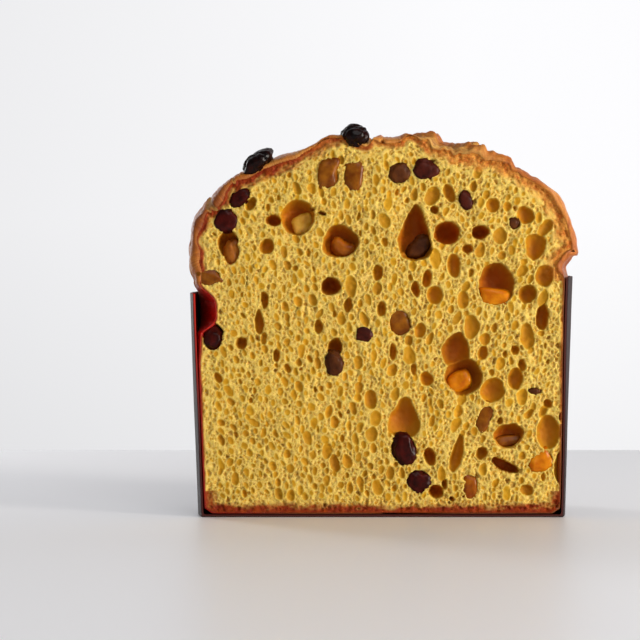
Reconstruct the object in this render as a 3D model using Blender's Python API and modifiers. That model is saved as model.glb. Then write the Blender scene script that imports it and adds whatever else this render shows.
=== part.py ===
"""A cut panettone standing in its paper mould.

A domed sweet loaf, baked in a round paper mould and then cut straight down, a little in front
of its axis. The cut faces -Y. The loaf, the mould and every raisin and piece of candied peel
that shows are separate closed solids with a hair of clearance between them.

Frame: +Z up, origin on the loaf's axis at the underside of the mould's floor.
"""
import math

import bmesh
import bpy
from mathutils import Euler, Matrix, Vector, noise
from mathutils.bvhtree import BVHTree

MM = 0.001

# Driving dimensions, in millimetres
CUT_DEPTH = 20.0  # the cut plane stands this far in front of the axis
CLEARANCE = 0.3  # gap kept between neighbouring solids
PAPER = 1.1  # thickness of the corrugated paper
BASE_RADIUS = 85.1  # outside of the mould at the table
RIM_RADIUS = 89.2  # outside of the mould at its rim
RIM_HEIGHT = 106.5  # mean height of the rim
RIM_TILT = 3.5  # the rim is this much higher on the right and lower on the left
WAIST_HEIGHT = 112.0  # the loaf is pinched here, just above the rim
DOME_START = 120.5  # height of the dome's greatest width
DOME_RADIUS = 90.6
DOME_RISE = 53.0  # from the greatest width to the top
DOME_POWER = 2.15  # 2 is an ellipse, and more is squarer
CROSS_ARMS = (60.0, 150.0)  # directions of the scored cross behind the cut, in degrees
BASE_ROUNDING = 6.0  # radius of the loaf's bottom edge
TURN_STEPS = 60  # facets round the whole loaf
DOME_RINGS = 13  # rows of facets from the crown to the greatest width
CELL_LEAN = 0.63  # the middle of an open cell lies this far in front of the cut plane
PROUD = 0.5  # cut fruit stands this far in front of the shrunken crumb

RIGHT_EDGE = -math.asin(CUT_DEPTH / RIM_RADIUS)  # angle of the cut's right edge, from +X to +Y

# Fruit in the crumb: x, z, width, height, depth, tilt in degrees, and how far its middle lies
# behind the cut plane
RAISINS = [
    (8.0, 157.0, 10.5, 10.0, 9.0, 10, 3.0),
    (19.6, 158.8, 11.6, 9.6, 9.0, -12, 2.6),
    (-65.2, 146.2, 11.8, 7.2, 9.0, 42, 3.2),
    (-71.4, 135.4, 10.2, 10.2, 9.0, 20, 3.2),
    (-68.6, 120.6, 8.2, 12.4, 8.0, -8, 5.0),
    (37.6, 145.0, 6.6, 9.6, 7.0, 8, 2.6),
    (17.0, 123.6, 11.6, 8.0, 8.0, 38, 7.0),
    (60.4, 134.4, 6.0, 6.6, 6.0, 0, 3.4),
    (-21.8, 70.2, 9.0, 11.6, 8.0, 12, 3.0),
    (-8.2, 83.4, 9.0, 7.6, 8.0, -6, 2.8),
    (-77.0, 81.0, 10.0, 11.2, 9.0, 0, 4.2),
    (9.5, 30.4, 12.0, 14.2, 10.0, 6, 4.0),
    (16.6, 16.6, 10.6, 10.6, 9.0, 30, 3.0),
    (69.5, 57.3, 7.4, 3.4, 6.0, -6, 3.0),
]
PEELS = [
    (-24.6, 156.8, 9.2, 14.0, 8.0, 4, 3.0),
    (-13.3, 156.0, 9.0, 12.4, 8.0, -6, 3.2),
    (-79.0, 109.6, 10.6, 8.2, 8.0, 12, 3.8),
    (-36.2, 133.8, 9.6, 8.6, 7.0, 28, 6.4),
    (-18.2, 122.8, 10.2, 7.6, 8.0, -24, 6.2),
    (51.6, 100.4, 13.4, 7.8, 8.0, -3, 5.0),
    (35.2, 61.6, 11.2, 8.8, 8.0, 24, 6.6),
    (8.2, 88.4, 10.4, 12.4, 7.0, 12, 3.6),
    (47.0, 45.8, 6.6, 13.0, 6.0, -32, 3.4),
    (57.2, 34.4, 12.4, 5.0, 6.0, 6, 5.6),
    (73.2, 25.4, 10.4, 8.8, 7.0, 36, 2.8),
    (40.6, 13.4, 6.8, 12.4, 6.0, -6, 3.2),
]

# The largest cells of the crumb, open at the cut: x, z, width, height, depth, tilt
CELLS = [
    (15.0, 131.0, 14.0, 25.0, 20.0, 0),
    (29.7, 130.0, 11.2, 10.6, 16.0, 0),
    (45.0, 130.0, 8.8, 7.2, 10.0, 0),
    (65.0, 138.0, 8.0, 8.6, 10.0, 20),
    (70.0, 123.4, 9.6, 12.0, 10.0, -8),
    (74.2, 110.4, 8.4, 11.0, 9.0, -14),
    (66.0, 101.7, 8.2, 8.6, 10.0, 0),
    (32.6, 115.0, 7.0, 11.6, 9.0, 6),
    (24.0, 101.6, 7.0, 9.2, 8.0, 6),
    (-38.6, 136.8, 16.0, 15.4, 15.0, 0),
    (-19.6, 126.0, 16.6, 15.0, 16.0, 8),
    (52.2, 106.4, 16.0, 16.6, 17.0, 0),
    (33.4, 75.6, 13.0, 17.0, 15.0, -6),
    (37.0, 64.4, 16.4, 16.4, 17.0, 0),
    (57.6, 37.4, 14.0, 10.6, 13.0, 8),
    (75.0, 39.0, 9.6, 15.6, 9.0, -6),
    (10.0, 45.0, 13.6, 16.8, 12.0, 0),
    (-70.4, 125.0, 9.4, 12.0, 14.0, 0),
    (-23.5, 105.5, 8.8, 8.6, 12.0, 0),
    (-77.4, 84.2, 11.0, 9.0, 12.0, 0),
    (50.3, 58.0, 10.4, 11.6, 8.0, -20),
    (61.0, 63.6, 7.4, 11.0, 8.0, 0),
    (34.2, 29.0, 5.8, 16.8, 8.0, -14),
    (56.3, 23.0, 13.6, 5.0, 11.0, -25),
    (-21.4, 77.0, 7.0, 9.0, 8.0, 0),
    (-85.4, 95.0, 15.0, 16.8, 17.0, 0),
]

# Fruit lying on the crust: x, y, width along the crust, thickness, tilt in degrees, and the
# share of its thickness that is sunk in the crust
CRUST_RAISINS = [
    (-12.0, -17.4, 11.8, 10.0, 0, 0.46),
    (-57.0, -16.6, 14.6, 8.0, 37, 0.42),
    (34.0, 47.0, 11.0, 8.4, -24, 0.60),
]
CRUST_PEELS = [
    (-34.0, 52.0, 11.0, 9.0, 20, 0.64),
    (63.0, 33.0, 12.0, 8.6, -42, 0.66),
]


def smooth(low, high, value):
    """0 below low, 1 above high, and a soft S between them."""
    t = min(1.0, max(0.0, (value - low) / (high - low)))
    return t * t * (3.0 - 2.0 * t)


def turn_between(angle, centre):
    """Signed angle from centre to angle, from -pi to pi."""
    return (angle - centre + math.pi) % (2.0 * math.pi) - math.pi


def rim_height(angle):
    """Height of the paper's rim, which dips and rises round the loaf."""
    wave = 0.7 * math.sin(3.0 * angle + 0.6) + 0.4 * math.sin(7.0 * angle)
    return RIM_HEIGHT + RIM_TILT * math.cos(angle) + wave


def wall_radius(height):
    """Outside of the mould: a slightly flared cone."""
    return BASE_RADIUS + (RIM_RADIUS - BASE_RADIUS) * height / RIM_HEIGHT


def cut_pinch(angle, height):
    """The cut paper curls in towards the bread beside the right edge, most at the rim."""
    near = 1.0 - smooth(0.0, math.radians(15.0), abs(turn_between(angle, RIGHT_EDGE)))
    return -2.7 * near * smooth(0.0, RIM_HEIGHT, height)


def dome_relief(angle, share):
    """How far the crust stands out of the plain dome; share is 0 at its widest and 1 on top.

    The crown is scored with a cross and folded open, so stretched valleys run down from the
    top along its arms, with the lifted edge of a flap beside each of them.
    """
    fade = smooth(0.02, 0.35, share) * (1.0 - smooth(0.90, 1.0, share))
    relief = 0.0
    for number, centre in enumerate(CROSS_ARMS):
        bend = math.radians(centre + 10.0 * math.sin(3.1 * share + number))
        off = turn_between(angle, bend)
        width = 0.20 + 0.16 * share
        relief -= 3.0 * fade * math.exp(-((off / width) ** 2))
        relief += 1.9 * fade * math.exp(-(((off - 1.7 * width) / (0.5 * width)) ** 2))
    for number in range(11):
        centre = 2.0 * math.pi * number / 11.0 + 0.5 * math.sin(5.0 * number)
        off = turn_between(angle, centre + 0.35 * math.sin(2.6 * share + 1.7 * number))
        reach = 0.45 + 0.3 * math.sin(2.3 * number)
        along = smooth(-0.15, 0.12, share) * (1.0 - smooth(reach, reach + 0.35, share))
        relief -= 1.1 * along * math.exp(-((off / 0.055) ** 2))
    where = Vector((2.2 * math.cos(angle), 2.2 * math.sin(angle), 2.6 * share))
    return relief + 1.3 * noise.noise(where) * smooth(-0.1, 0.2, share)


def flap_steps(x, y):
    """Torn flap edges on the crown, which lift the dome's right side in three steps."""
    lift = 0.0
    for edge, height in ((25.0, 2.2), (46.0, 2.4), (60.0, 1.8)):
        line = x - edge - 0.10 * abs(y + CUT_DEPTH) + 1.6 * math.sin(0.11 * y + edge)
        lift += height * smooth(-17.0, -1.5, line) * (1.0 - smooth(-1.5, 2.2, line))
    return lift * (1.0 - smooth(26.0, 60.0, abs(y + CUT_DEPTH)))


def loaf_profile():
    """Radius and height of the loaf's outline, from its top down to its floor."""
    points = [(0.0, DOME_START + DOME_RISE)]
    for step in range(1, DOME_RINGS + 1):
        turn = math.pi / 2.0 * step / DOME_RINGS
        radius = DOME_RADIUS * math.sin(turn) ** (2.0 / DOME_POWER)
        rise = DOME_RISE * max(0.0, math.cos(turn)) ** (2.0 / DOME_POWER)
        points.append((radius, DOME_START + rise))
    inner = PAPER + CLEARANCE
    points.append((DOME_RADIUS - 0.7, DOME_START - 4.0))
    points.append((DOME_RADIUS - 2.6, WAIST_HEIGHT))
    for height in (106.0, 99.0, 70.0, 38.0):
        points.append((wall_radius(height) - inner, height))
    corner = wall_radius(BASE_ROUNDING) - inner - BASE_ROUNDING
    for step in range(4):
        turn = math.pi / 2.0 * step / 3.0
        radius = corner + BASE_ROUNDING * math.cos(turn)
        height = inner + BASE_ROUNDING * (1.0 - math.sin(turn))
        points.append((radius, height))
    points.append((corner * 0.5, inner))
    points.append((0.0, inner))
    return points


def paper_profile():
    """Radius and height of the mould's section, from the middle of its floor round the rim."""
    inside = []
    for height in (99.0, 70.0, 38.0):
        inside.append((wall_radius(height) - PAPER, height))
    rim_inside = (wall_radius(RIM_HEIGHT) - PAPER, RIM_HEIGHT)
    rim_outside = (wall_radius(RIM_HEIGHT), RIM_HEIGHT)
    outside = [(radius + PAPER, height) for radius, height in inside]
    floor_edge = wall_radius(PAPER) - PAPER
    points = [(0.0, PAPER), (floor_edge * 0.5, PAPER), (floor_edge, PAPER)]
    points += list(reversed(inside))
    points += [rim_inside, rim_outside]
    points += outside
    points += [(BASE_RADIUS, 0.0), (BASE_RADIUS * 0.5, 0.0), (0.0, 0.0)]
    return points


def make_material(name, colour, roughness):
    """A plain material with the given base colour."""
    material = bpy.data.materials.new(name)
    material.use_nodes = True
    shader = material.node_tree.nodes["Principled BSDF"]
    shader.inputs["Base Color"].default_value = (*colour, 1.0)
    shader.inputs["Roughness"].default_value = roughness
    shader.inputs["Metallic"].default_value = 0.0
    material.diffuse_color = (*colour, 1.0)
    return material


def new_collection(name):
    collection = bpy.data.collections.new(name)
    bpy.context.scene.collection.children.link(collection)
    return collection


def add_object(name, mesh, collection, material=None):
    """Links a mesh as a named object."""
    item = bpy.data.objects.new(name, mesh)
    collection.objects.link(item)
    if material is not None:
        mesh.materials.clear()
        mesh.materials.append(material)
    return item


def applied(item):
    """Replaces an object's mesh with its evaluated one and drops its modifiers."""
    graph = bpy.context.evaluated_depsgraph_get()
    mesh = bpy.data.meshes.new_from_object(item.evaluated_get(graph))
    item.modifiers.clear()
    item.data = mesh
    return item


def turned(name, profile, collection, material):
    """Turns a profile of radii and heights about Z into a closed body."""
    mesh = bpy.data.meshes.new(name)
    points = [(radius * MM, 0.0, height * MM) for radius, height in profile]
    edges = [(number, number + 1) for number in range(len(points) - 1)]
    mesh.from_pydata(points, edges, [])
    item = add_object(name, mesh, collection, material)
    screw = item.modifiers.new("Turn", "SCREW")
    screw.steps = TURN_STEPS
    screw.render_steps = TURN_STEPS
    screw.use_merge_vertices = True
    screw.merge_threshold = 0.0001
    bpy.context.view_layer.update()
    return applied(item)


def cut_away(item, cutter):
    """Subtracts an object, or all of a collection, from an item with an exact Boolean."""
    modifier = item.modifiers.new("Cut " + cutter.name, "BOOLEAN")
    modifier.operation = "DIFFERENCE"
    modifier.solver = "EXACT"
    if isinstance(cutter, bpy.types.Collection):
        modifier.operand_type = "COLLECTION"
        modifier.collection = cutter
    else:
        modifier.object = cutter


def as_cutter(item):
    item.hide_render = True
    item.display_type = "WIRE"
    return item


def lumpy_ball(size, tilt, place, wrinkle, seed, segments=9, rings=6):
    """An ellipsoid in millimetres, dented by noise, as a mesh placed in metres."""
    body = bmesh.new()
    bmesh.ops.create_uvsphere(body, u_segments=segments, v_segments=rings, radius=0.5)
    bmesh.ops.triangulate(body, faces=body.faces[:])
    turn = Matrix.Rotation(math.radians(-tilt), 4, "Y")
    for vertex in body.verts:
        bump = 1.0 + wrinkle * noise.noise(vertex.co * 3.4 + Vector((seed * 3.7, 1.3, seed)))
        sized = Vector([part * length * bump for part, length in zip(vertex.co, size)])
        vertex.co = (turn @ sized + Vector(place)) * MM
    mesh = bpy.data.meshes.new("ball")
    body.to_mesh(mesh)
    body.free()
    return mesh


def rounded_cube(size, tilt, place, seed):
    """A candied peel cube in millimetres: a bevelled block, slightly out of square."""
    body = bmesh.new()
    bmesh.ops.create_cube(body, size=1.0)
    bmesh.ops.bevel(
        body, geom=body.edges[:], offset=0.2, segments=1, profile=0.6, affect="EDGES"
    )
    bmesh.ops.triangulate(body, faces=body.faces[:])
    skew = Euler((0.35 * math.sin(seed * 2.1), 0.0, 0.45 * math.cos(seed * 1.3))).to_matrix()
    turn = Matrix.Rotation(math.radians(-tilt), 3, "Y")
    for vertex in body.verts:
        lump = 1.0 + 0.12 * noise.noise(vertex.co * 2.0 + Vector((seed * 5.1, seed, 0.7)))
        sized = Vector([part * length * lump for part, length in zip(vertex.co, size)])
        vertex.co = (turn @ skew @ sized + Vector(place)) * MM
    mesh = bpy.data.meshes.new("cube")
    body.to_mesh(mesh)
    body.free()
    return mesh


def shape_loaf(item):
    """Gives the turned loaf its waist, its dome's relief and the dent beside the cut."""
    for vertex in item.data.vertices:
        x, y, z = (part / MM for part in vertex.co)
        radius = math.hypot(x, y)
        angle = math.atan2(y, x)
        outward = Vector((math.cos(angle), math.sin(angle), 0.0))
        if z > WAIST_HEIGHT - 9.0:
            side = 0.5 + 0.5 * math.cos(angle)
            height = WAIST_HEIGHT + 3.0 * side
            pinch = (0.4 + 1.8 * side) * math.exp(-(((z - height) / 5.0) ** 2))
            radius -= min(radius, pinch)
        if z >= DOME_START - 0.1:
            share = (z - DOME_START) / DOME_RISE
            lean = Vector((outward.x, outward.y, 0.0)) * (radius / DOME_RADIUS)
            normal = (lean + Vector((0.0, 0.0, share * 1.2))).normalized()
            moved = outward * radius + Vector((0.0, 0.0, z)) + normal * dome_relief(angle, share)
            moved.z += flap_steps(moved.x, moved.y) * smooth(0.35, 0.8, share)
        else:
            ripple = dome_relief(angle, 0.0) * smooth(WAIST_HEIGHT, DOME_START, z)
            reach = max(0.0, radius + ripple + (cut_pinch(angle, z) if radius > 60.0 else 0.0))
            moved = outward * reach + Vector((0.0, 0.0, z))
        vertex.co = moved * MM


def shape_paper(item):
    """Tilts and waves the rim, and curls the paper in beside the cut's right edge."""
    for vertex in item.data.vertices:
        x, y, z = (part / MM for part in vertex.co)
        radius = math.hypot(x, y)
        if radius < 60.0:
            continue
        angle = math.atan2(y, x)
        if z > RIM_HEIGHT - 1.0:
            z = rim_height(angle)
            radius += wall_radius(z) - wall_radius(RIM_HEIGHT)
        radius += cut_pinch(angle, z)
        vertex.co = Vector((radius * math.cos(angle), radius * math.sin(angle), z)) * MM


for old in list(bpy.data.objects):
    bpy.data.objects.remove(old, do_unlink=True)

model = new_collection("panettone")
cutters = new_collection("cutters")
hollows = new_collection("hollows")
bread = make_material("bread", (0.60, 0.34, 0.06), 0.7)
brown_paper = make_material("brown paper", (0.045, 0.012, 0.008), 0.6)
raisin_skin = make_material("raisin", (0.035, 0.006, 0.004), 0.35)
candied_peel = make_material("candied peel", (0.62, 0.22, 0.02), 0.25)

knife_mesh = bpy.data.meshes.new("knife")
knife_body = bmesh.new()
bmesh.ops.create_cube(knife_body, size=0.4)
knife_body.to_mesh(knife_mesh)
knife_body.free()
knife = as_cutter(add_object("knife", knife_mesh, cutters))
knife.location = (0.0, -CUT_DEPTH * MM - 0.2, 0.1)
fruit_knife = as_cutter(add_object("fruit_knife", knife_mesh.copy(), cutters))
fruit_knife.location = (0.0, -(CUT_DEPTH + PROUD) * MM - 0.2, 0.1)

loaf = turned("loaf", loaf_profile(), model, bread)
shape_loaf(loaf)
crust_surface = BVHTree.FromObject(loaf, bpy.context.evaluated_depsgraph_get())
cut_away(loaf, knife)

paper_case = turned("paper_case", paper_profile(), model, brown_paper)
shape_paper(paper_case)
cut_away(paper_case, knife)


def crust_height(x, y):
    """Height of the crust over a point in the plan."""
    above = Vector((x * MM, y * MM, 2.0 * (DOME_START + DOME_RISE) * MM))
    return crust_surface.ray_cast(above, Vector((0.0, 0.0, -1.0)))[0].z / MM


def add_fruit(name, mesh_maker, size, tilt, place, material, seed, cut):
    """A piece of fruit, and the slightly larger pocket that it leaves in the loaf."""
    fruit = add_object(name, mesh_maker(size, tilt, place, seed), model, material)
    grown = [length + 2.0 * CLEARANCE for length in size]
    as_cutter(add_object("pocket_" + name, mesh_maker(grown, tilt, place, seed), hollows))
    if cut:
        cut_away(fruit, fruit_knife)


def raisin_mesh(size, tilt, place, seed):
    return lumpy_ball(size, tilt, place, 0.22, seed)


for number, (x, z, width, height, depth, tilt, behind) in enumerate(RAISINS, start=1):
    place = (x, -CUT_DEPTH + behind, z)
    size = (width, depth, height)
    add_fruit(f"raisin_{number:02d}", raisin_mesh, size, tilt, place, raisin_skin, number, True)

for number, (x, z, width, height, depth, tilt, behind) in enumerate(PEELS, start=1):
    place = (x, -CUT_DEPTH + behind, z)
    size = (width, depth, height)
    add_fruit(f"peel_{number:02d}", rounded_cube, size, tilt, place, candied_peel, number, True)

for kind, rows, maker, material in (
    ("crust_raisin", CRUST_RAISINS, raisin_mesh, raisin_skin),
    ("crust_peel", CRUST_PEELS, rounded_cube, candied_peel),
):
    for number, (x, y, width, thick, tilt, sunk) in enumerate(rows, start=1):
        place = (x, y, crust_height(x, y) + thick * (0.5 - sunk))
        size = (width, width * 0.85, thick)
        name = f"{kind}_{number}"
        add_fruit(name, maker, size, tilt, place, material, 20 + number, False)

for number, (x, z, width, height, depth, tilt) in enumerate(CELLS, start=1):
    size = (width, depth, height)
    place = (x, -CUT_DEPTH - CELL_LEAN, z)
    mesh = lumpy_ball(size, tilt, place, 0.10, number)
    as_cutter(add_object(f"cell_{number:02d}", mesh, hollows))
cut_away(loaf, hollows)

for item in model.objects:
    item.data.shade_smooth()
    item.data.set_sharp_from_angle(angle=math.radians(50.0))
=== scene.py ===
"""A cut panettone in its paper mould, on a pale table in soft studio light."""
import math

import bmesh
import bpy
import numpy as np
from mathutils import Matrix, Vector


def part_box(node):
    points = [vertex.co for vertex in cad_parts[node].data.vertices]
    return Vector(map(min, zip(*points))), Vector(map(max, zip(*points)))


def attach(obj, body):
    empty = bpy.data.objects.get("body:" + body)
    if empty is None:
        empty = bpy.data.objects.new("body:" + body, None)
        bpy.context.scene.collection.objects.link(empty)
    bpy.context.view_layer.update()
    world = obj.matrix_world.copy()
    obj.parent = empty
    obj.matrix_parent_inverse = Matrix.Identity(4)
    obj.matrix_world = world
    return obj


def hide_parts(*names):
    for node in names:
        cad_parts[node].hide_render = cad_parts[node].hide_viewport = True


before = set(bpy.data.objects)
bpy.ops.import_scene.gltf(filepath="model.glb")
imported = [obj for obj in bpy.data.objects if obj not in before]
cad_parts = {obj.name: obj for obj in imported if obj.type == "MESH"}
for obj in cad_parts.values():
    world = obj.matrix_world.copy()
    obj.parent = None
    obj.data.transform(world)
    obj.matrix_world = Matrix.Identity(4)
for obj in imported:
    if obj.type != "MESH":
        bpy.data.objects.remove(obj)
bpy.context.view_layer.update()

# ---------------------------------------------------------------------------------------------
# The crust. The dough rose in its mould, spilled over the rim and set as a dome under an
# egg-washed skin. The cross cut in its top pulled open, which left creases, lifted flaps and
# paler torn streaks; then the loaf was cut straight down in front of its axis.

MM = 0.001  # lengths below are in millimetres
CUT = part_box("paper_case")[0][1] / MM  # y of the cut plane
RIM_MEAN = 106.5
BASE_RADIUS = 85.1
RIM_RADIUS = 89.2
DOME_START = 120.5
DOME_RADIUS = 90.4
DOME_RISE = 52.6
DOME_POWER = 2.15
FLOOR_THICK = 1.1
RIGHT_EDGE = math.asin(CUT / RIM_RADIUS)
CRUST_COLUMNS = 440
TOP_ROWS = 172
SIDE_ROWS = 34
CROSS_ARMS = (60.0, 150.0, 240.0, 330.0)  # directions of the scored cross, in degrees
CRUST_FOOT = FLOOR_THICK + 0.5  # the paper and a little air, under and beside the dough
FOOT_ROUND = 3.5
DENT_HEIGHT = 94.5  # where the loaf shrank away from the paper, at the cut's left edge
DENT_DEPTH = 8.6
KNIFE_ROLL = 0.3  # how far behind the cut the rolled edge of the skin ends


def soft(low, high, value):
    """0 below low, 1 above high, and a soft S between them."""
    t = np.clip((value - low) / (high - low), 0.0, 1.0)
    return t * t * (3.0 - 2.0 * t)


lattice = np.random.default_rng(11).uniform(-1.0, 1.0, (64, 64, 64))


def lumps(x, y, z, size, seed=0):
    """Smooth random lumps about size across, from -1 to 1."""
    at = [np.asarray(part) / size + 13.7 * seed for part in (x, y, z)]
    cell = [np.floor(part).astype(np.int64) for part in at]
    near = [part - low for part, low in zip(at, cell)]
    near = [part * part * (3.0 - 2.0 * part) for part in near]
    total = 0.0
    for i in (0, 1):
        for j in (0, 1):
            for k in (0, 1):
                corner = lattice[(cell[0] + i) % 64, (cell[1] + j) % 64, (cell[2] + k) % 64]
                weight = 1.0
                for side, part in zip((i, j, k), near):
                    weight = weight * (part if side else 1.0 - part)
                total = total + corner * weight
    return total


def rim_height(angle):
    """Height of the paper's rim, which dips and rises round the loaf."""
    wave = 0.7 * np.sin(3.0 * angle + 0.6) + 0.4 * np.sin(7.0 * angle)
    return RIM_MEAN + 3.5 * np.cos(angle) + wave


def wall_radius(height):
    """Outside of the mould: a slightly flared cone."""
    return BASE_RADIUS + (RIM_RADIUS - BASE_RADIUS) * height / RIM_MEAN


def cut_pinch(angle, height):
    """The cut paper curls in towards the bread beside the right edge, most at the rim."""
    off = np.abs((angle - RIGHT_EDGE + math.pi) % (2.0 * math.pi) - math.pi)
    return -1.9 * (1.0 - soft(0.0, math.radians(15.0), off)) * soft(0.0, RIM_MEAN, height)


def crust_grid():
    """The plain dome and wall as rows of points, from the middle of the cut's top outwards."""
    phi = np.linspace(0.0, math.pi, CRUST_COLUMNS)
    reach = -CUT * np.sin(phi) + np.sqrt(DOME_RADIUS**2 - (CUT * np.cos(phi)) ** 2)
    turn = np.linspace(0.004, 1.0, TOP_ROWS) * math.pi / 2.0
    spread = np.sin(turn) ** 0.93
    x = spread[:, None] * (reach * np.cos(phi))[None, :]
    y = CUT + spread[:, None] * (reach * np.sin(phi))[None, :]
    share = np.clip(np.hypot(x, y) / DOME_RADIUS, 0.0, 1.0)
    z = DOME_START + DOME_RISE * (1.0 - share**DOME_POWER) ** (1.0 / DOME_POWER)
    rows = [np.stack([x, y, z], axis=-1)]
    side = 0.5 + 0.5 * np.cos(phi)
    heights = (*np.linspace(DOME_START - 0.8, 84.0, SIDE_ROWS), 70.0, 50.0, 30.0, 10.0, 4.0, CRUST_FOOT)
    walls = [(height, 1.0) for height in heights]
    for height, closing in walls + [(1.5, 0.5), (1.5, 0.01)]:
        waist = np.exp(-(((height - 111.0 - 3.5 * side) / 4.6) ** 2)) * (1.4 + 2.6 * side)
        over = DOME_RADIUS - 0.012 * (DOME_START - height) ** 2
        mix = soft(112.0, 105.0, height)
        radius = over * (1.0 - mix) + (wall_radius(height) - CRUST_FOOT) * mix - waist
        curve = FOOT_ROUND + CRUST_FOOT - height
        if curve > 0.0:
            radius = radius - FOOT_ROUND + math.sqrt(max(0.0, FOOT_ROUND**2 - curve**2))
        reach = -CUT * np.sin(phi) + np.sqrt(radius**2 - (CUT * np.cos(phi)) ** 2)
        angle = np.arctan2(CUT + reach * np.sin(phi), reach * np.cos(phi))
        reach = reach + cut_pinch(angle, height)
        shrunk = DENT_DEPTH * math.exp(-(((height - DENT_HEIGHT) / 9.0) ** 4))
        reach = (reach - shrunk * np.exp(-(((math.pi - phi) / 0.3) ** 4))) * closing
        x, y = reach * np.cos(phi), CUT + reach * np.sin(phi)
        rows.append(np.stack([x, y, np.full_like(x, height)], axis=-1)[None])
    return np.concatenate(rows, axis=0)


def grid_normals(points):
    """Outward normals of a grid of points round the loaf's middle."""
    normal = np.cross(np.gradient(points, axis=0), np.gradient(points, axis=1))
    normal /= np.linalg.norm(normal, axis=-1, keepdims=True) + 1e-9
    outward = points - np.array([0.0, 0.0, 80.0])
    return normal * np.sign((normal * outward).sum(axis=-1, keepdims=True))


crust_points = crust_grid()
x, y, z = np.moveaxis(crust_points, -1, 0)
normals = grid_normals(crust_points)
above = soft(rim_height(np.arctan2(y, x)) - 0.5, rim_height(np.arctan2(y, x)) + 5.0, z)
drop = np.linalg.norm(np.gradient(crust_points, axis=0), axis=-1).cumsum(axis=0)
warp = 9.0 * lumps(x, y, z, 38.0, 2) + 3.4 * lumps(x, y, z, 14.0, 3) + 0.8 * lumps(x, y, z, 5.0, 4)
around = np.arctan2(y, x) * np.maximum(np.hypot(x, y), 22.0) + warp
crown = soft(DOME_START - 6.0, DOME_START + 20.0, z)

# The arms of the cross, torn open, with the lips of the flaps beside them
torn_arms = np.zeros(x.shape)
lips = np.zeros(x.shape)
for number, arm in enumerate(CROSS_ARMS):
    turn = math.radians(arm)
    along = x * math.cos(turn) + y * math.sin(turn)
    off = y * math.cos(turn) - x * math.sin(turn) + 1.3 * warp * soft(0.0, 40.0, along)
    width = 3.0 + 0.15 * np.maximum(along, 0.0) * (1.0 + 0.8 * lumps(x, y, z, 22.0, 20 + number))
    here = soft(-3.0, 8.0, along)
    torn_arms = np.maximum(torn_arms, here * np.exp(-((off / width) ** 6)))
    lips += here * np.exp(-(((np.abs(off) - 1.25 * width) / (0.35 * width)) ** 2))

# Patches where the skin stretched until it split, longer than wide and running down the sides
streak = lumps(around, drop / 2.8, 0.0 * x, 13.0, 5) + 0.5 * lumps(around, drop / 2.2, 0.0 * x, 5.0, 6)
streak = streak + 0.25 * lumps(around, drop / 2.0, 0.0 * x, 1.8, 7)
streaks = soft(0.40, 0.58, streak) * soft(20.0, 45.0, drop)
torn_skin = np.clip(np.maximum(torn_arms * soft(-0.7, 0.1, streak), streaks), 0.0, 1.0)
crease = lumps(around, drop / 4.0, 0.0 * x, 17.0, 8) + 0.10 * lumps(x, y, z, 3.0, 9)
creases = soft(0.93, 1.0, 1.0 - np.abs(crease)) * soft(22.0, 45.0, drop)
creases = creases * soft(-0.1, 0.4, lumps(x, y, z, 24.0, 33))
fibre = lumps(around, drop / 5.0, 0.0 * x, 1.9, 10)
pimples = lumps(x, y, z, 1.7, 12)
relief = (
    1.7 * lumps(x, y, z, 30.0, 13) * crown + 1.2 * lumps(x, y, z, 12.0, 14)
    + 0.6 * lumps(x, y, z, 5.5, 15) + 0.20 * fibre + 0.14 * pimples
    - 2.2 * torn_arms + 1.1 * np.clip(lips, 0.0, 1.0)
    - 1.1 * streaks - 1.1 * creases
    + torn_skin * (0.42 * fibre + 0.42 * pimples)
    + 3.4 * np.exp(-(((x + 24.0) / 9.0) ** 2) - ((y - CUT) / 22.0) ** 2) * crown
)
ragged = soft(-8.0, 20.0, x) * (1.0 - soft(10.0, 45.0, y - CUT)) * soft(150.0, 160.0, z)
relief = relief + ragged * (0.9 * lumps(x, y, z, 3.2, 18) + 0.5 * lumps(x, y, z, 1.6, 19))
relief = relief * above

# Torn flap edges, stepped like scales on the crown's right side by the cut
flaps = np.zeros(x.shape)
for edge, height, rough in ((23.5, 3.4, 1.2), (44.0, 3.0, 1.4), (58.0, 2.6, 1.3)):
    line = x - edge - 0.10 * (y - CUT) + 1.8 * np.sin(0.11 * y + edge) + rough * lumps(x, y, z, 3.4, 16)
    flaps += height * soft(-19.0, -1.0, line) * (1.0 - soft(-1.0, 1.6, line))
flaps *= (1.0 - soft(24.0, 58.0, y - CUT)) * soft(DOME_START + 20.0, DOME_START + 34.0, z)
crust_points = crust_points + normals * relief[..., None]
crust_points[..., 2] += flaps
crust_points[:, (0, -1), 1] = CUT
crust_points[..., 1] = np.maximum(crust_points[..., 1], CUT)

# The knife dragged the skin's edge round, towards the cut face
near_cut = np.clip(1.0 - (crust_points[..., 1] - CUT) / 4.5, 0.0, 1.0)
roll_depth = 0.25 + (1.5 + 1.3 * soft(30.0, 75.0, -x)) * above
rolled = (1.0 - np.sqrt(1.0 - near_cut**2)) * roll_depth * (1.0 + 0.5 * lumps(x, 0.0, z, 7.0, 17))
crust_points -= normals * rolled[..., None]
crust_points[..., 1] = np.maximum(crust_points[..., 1], CUT + KNIFE_ROLL)
crust_points[:, (0, -1), 1] = CUT + KNIFE_ROLL


def add_piece(name, points, faces, smooth=True):
    """A mesh object from points in millimetres."""
    mesh = bpy.data.meshes.new(name)
    mesh.from_pydata((np.asarray(points) * MM).tolist(), [], [tuple(face) for face in faces])
    mesh.update()
    if smooth:
        mesh.shade_smooth()
    piece = bpy.data.objects.new(name, mesh)
    bpy.context.scene.collection.objects.link(piece)
    return piece


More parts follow.
